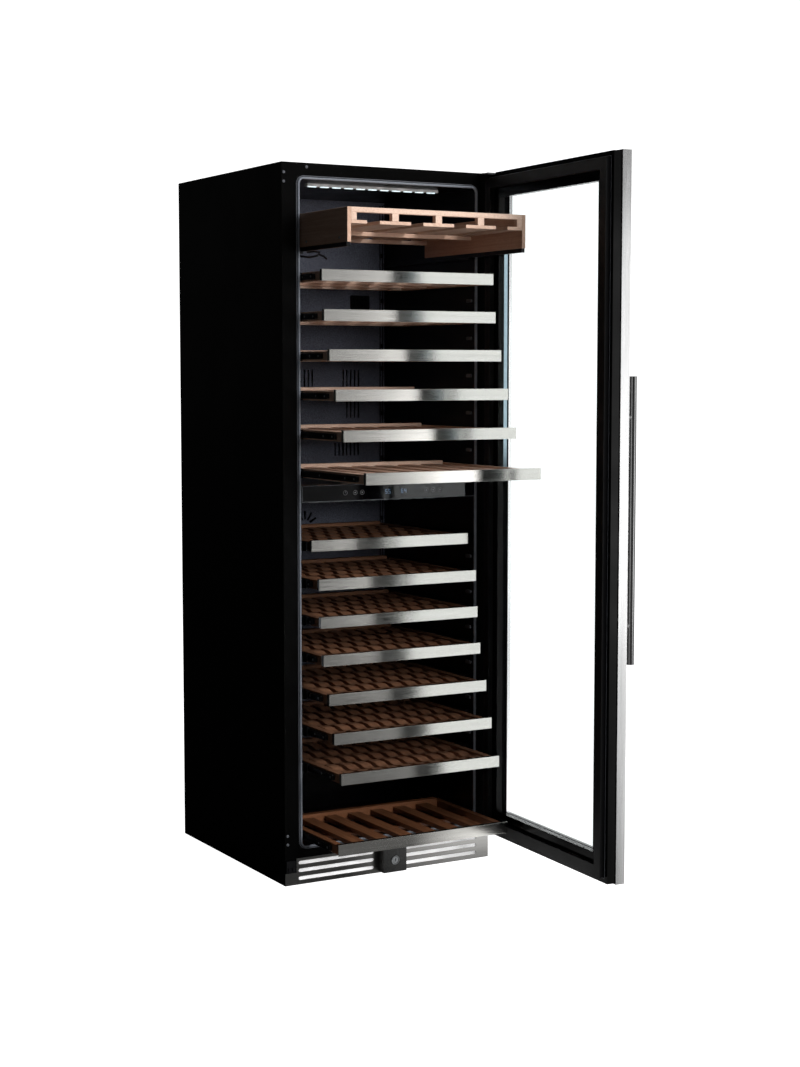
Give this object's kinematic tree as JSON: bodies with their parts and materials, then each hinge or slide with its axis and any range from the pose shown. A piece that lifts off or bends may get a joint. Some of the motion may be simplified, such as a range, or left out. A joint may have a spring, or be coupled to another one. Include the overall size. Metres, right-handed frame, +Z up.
{
  "type": "wine cooler",
  "caption": "Tall free-standing two-zone wine cooler with a hinged glass door and wooden bottle racks on slides",
  "frame": {"origin": "on the floor, under the middle of the cabinet's front plane", "axes": "+X to the viewer's right facing the door, +Y to the back, +Z up"},
  "size_m": [0.635, 1.2449, 1.78],
  "materials": {
    "black_paint": "satin",
    "foam": "matte",
    "black_plastic": "satin",
    "gloss_black": "gloss",
    "key_print": "matte",
    "led_diffuser": "matte",
    "duct_panel": "textured",
    "black_steel": "satin",
    "fin_aluminium": "satin",
    "black_enamel": "gloss",
    "brushed_steel": "brushed",
    "dark_cast": "satin",
    "zinc_steel": "satin",
    "clear_glass": "clear",
    "gasket_rubber": "matte",
    "beech": "satin"
  },
  "bodies": {
    "cabinet": {"outer_shell": "black_paint", "back_cover": "black_paint", "base_tray": "black_paint", "insulation": "foam", "liner": "black_plastic", "zone_divider": "black_plastic", "control_fascia": "gloss_black", "touch_keys": "key_print", "led_bars": "led_diffuser", "duct_covers": "duct_panel", "slide_channels": "black_steel", "evaporators": "fin_aluminium", "compressor": "black_enamel", "condenser": "fin_aluminium", "mains_inlet": "black_plastic", "kick_grille": "brushed_steel", "lock_housing": "dark_cast", "hinge_top": "zinc_steel", "hinge_bottom": "zinc_steel", "levelling_feet": "black_plastic"},
    "door": {"door_frame": "brushed_steel", "door_inner_frame": "black_plastic", "door_glass": "clear_glass", "door_gasket": "gasket_rubber", "handle_bar": "brushed_steel", "handle_posts": "brushed_steel"},
    "upper_fan": {"fan_upper": "black_plastic"},
    "lower_fan": {"fan_lower": "black_plastic"},
    "machine_fan": {"condenser_fan": "black_plastic"},
    "lock": {"lock_cylinder": "zinc_steel"},
    "shelf_01": {"shelf_01_rack": "beech", "shelf_01_runners": "black_steel"},
    "shelf_02": {"shelf_02_wood": "beech", "shelf_02_steel": "brushed_steel"},
    "shelf_03": {"shelf_03_wood": "beech", "shelf_03_steel": "brushed_steel"},
    "shelf_04": {"shelf_04_wood": "beech", "shelf_04_steel": "brushed_steel"},
    "shelf_05": {"shelf_05_wood": "beech", "shelf_05_steel": "brushed_steel"},
    "shelf_06": {"shelf_06_wood": "beech", "shelf_06_steel": "brushed_steel"},
    "shelf_07": {"shelf_07_wood": "beech", "shelf_07_steel": "brushed_steel"},
    "shelf_08": {"shelf_08_wood": "beech", "shelf_08_steel": "brushed_steel"},
    "shelf_09": {"shelf_09_wood": "beech", "shelf_09_steel": "brushed_steel"},
    "shelf_10": {"shelf_10_wood": "beech", "shelf_10_steel": "brushed_steel"},
    "shelf_11": {"shelf_11_wood": "beech", "shelf_11_steel": "brushed_steel"},
    "shelf_12": {"shelf_12_wood": "beech", "shelf_12_steel": "brushed_steel"},
    "shelf_13": {"shelf_13_wood": "beech", "shelf_13_steel": "brushed_steel"},
    "shelf_14": {"shelf_14_wood": "beech", "shelf_14_steel": "brushed_steel"},
    "shelf_15": {"shelf_15_wood": "beech", "shelf_15_steel": "brushed_steel"}
  },
  "joints": [
    {"name": "door_hinge", "type": "hinge", "parent": "cabinet", "child": "door", "pos_m": [0.2875, -0.028, 0.9], "axis": [0, 0, 1], "range_deg": [-2, 33]},
    {"name": "lock_turn", "type": "hinge", "parent": "cabinet", "child": "lock", "pos_m": [0, -0.02, 0.0355], "axis": [0, 1, 0], "range_deg": [0, 90]},
    {"name": "shelf_01_slide", "type": "slide", "parent": "cabinet", "child": "shelf_01", "axis": [0, -1, 0], "range_m": [-0.229, 0.101]},
    {"name": "shelf_02_slide", "type": "slide", "parent": "cabinet", "child": "shelf_02", "axis": [0, -1, 0], "range_m": [-0.091, 0.239]},
    {"name": "shelf_03_slide", "type": "slide", "parent": "cabinet", "child": "shelf_03", "axis": [0, -1, 0], "range_m": [-0.102, 0.228]},
    {"name": "shelf_04_slide", "type": "slide", "parent": "cabinet", "child": "shelf_04", "axis": [0, -1, 0], "range_m": [-0.129, 0.201]},
    {"name": "shelf_05_slide", "type": "slide", "parent": "cabinet", "child": "shelf_05", "axis": [0, -1, 0], "range_m": [-0.161, 0.169]},
    {"name": "shelf_06_slide", "type": "slide", "parent": "cabinet", "child": "shelf_06", "axis": [0, -1, 0], "range_m": [-0.199, 0.131]},
    {"name": "shelf_07_slide", "type": "slide", "parent": "cabinet", "child": "shelf_07", "axis": [0, -1, 0], "range_m": [-0.309, 0.021]},
    {"name": "shelf_08_slide", "type": "slide", "parent": "cabinet", "child": "shelf_08", "axis": [0, -1, 0], "range_m": [0, 0.33]},
    {"name": "shelf_09_slide", "type": "slide", "parent": "cabinet", "child": "shelf_09", "axis": [0, -1, 0], "range_m": [-0.04, 0.29]},
    {"name": "shelf_10_slide", "type": "slide", "parent": "cabinet", "child": "shelf_10", "axis": [0, -1, 0], "range_m": [-0.048, 0.282]},
    {"name": "shelf_11_slide", "type": "slide", "parent": "cabinet", "child": "shelf_11", "axis": [0, -1, 0], "range_m": [-0.062, 0.268]},
    {"name": "shelf_12_slide", "type": "slide", "parent": "cabinet", "child": "shelf_12", "axis": [0, -1, 0], "range_m": [-0.091, 0.239]},
    {"name": "shelf_13_slide", "type": "slide", "parent": "cabinet", "child": "shelf_13", "axis": [0, -1, 0], "range_m": [-0.117, 0.213]},
    {"name": "shelf_14_slide", "type": "slide", "parent": "cabinet", "child": "shelf_14", "axis": [0, -1, 0], "range_m": [-0.153, 0.177]},
    {"name": "shelf_15_slide", "type": "slide", "parent": "cabinet", "child": "shelf_15", "axis": [0, -1, 0], "range_m": [-0.182, 0.062]},
    {"name": "fan_upper_spin", "type": "hinge", "parent": "cabinet", "child": "upper_fan", "pos_m": [0, 0.49, 1.64], "axis": [0, 1, 0], "continuous": true},
    {"name": "fan_lower_spin", "type": "hinge", "parent": "cabinet", "child": "lower_fan", "pos_m": [0, 0.49, 0.8555], "axis": [0, 1, 0], "continuous": true},
    {"name": "machine_fan_spin", "type": "hinge", "parent": "cabinet", "child": "machine_fan", "pos_m": [0.155, 0.493, 0.105], "axis": [0, 1, 0], "continuous": true}
  ]
}
